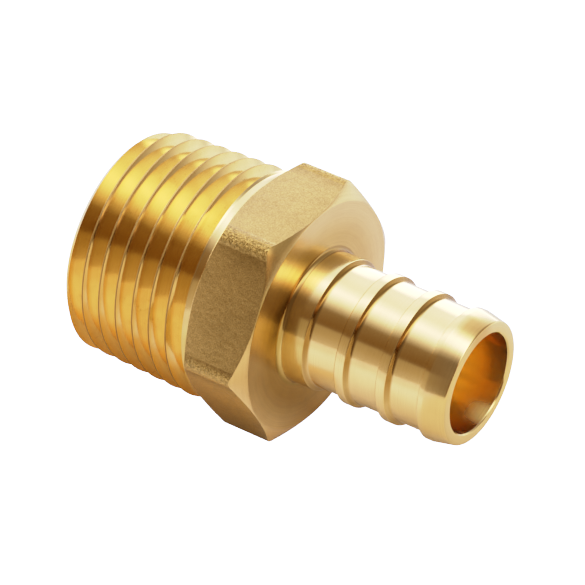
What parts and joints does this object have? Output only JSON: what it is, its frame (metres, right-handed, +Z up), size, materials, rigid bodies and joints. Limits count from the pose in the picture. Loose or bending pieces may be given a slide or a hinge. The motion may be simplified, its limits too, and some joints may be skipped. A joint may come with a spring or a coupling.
{
  "type": "male threaded adapter",
  "caption": "Brass adapter with a tapered male pipe thread, a wrench hexagon and a ribbed insert for crimped plastic tube, bored through along its axis.",
  "frame": {"origin": "under the middle of the part's length, on its axis, at the level of the lowest thread crest", "axes": "+X along the part's axis, from the thread towards the ribbed insert's tip, and +Z up, square to the hexagon's top flat"},
  "size_m": [0.0366, 0.0242, 0.0215],
  "materials": {
    "brass": "turned bright, with forged flats on the hexagon"
  },
  "bodies": {
    "root": {"adapter_body": "brass"}
  },
  "joints": []
}
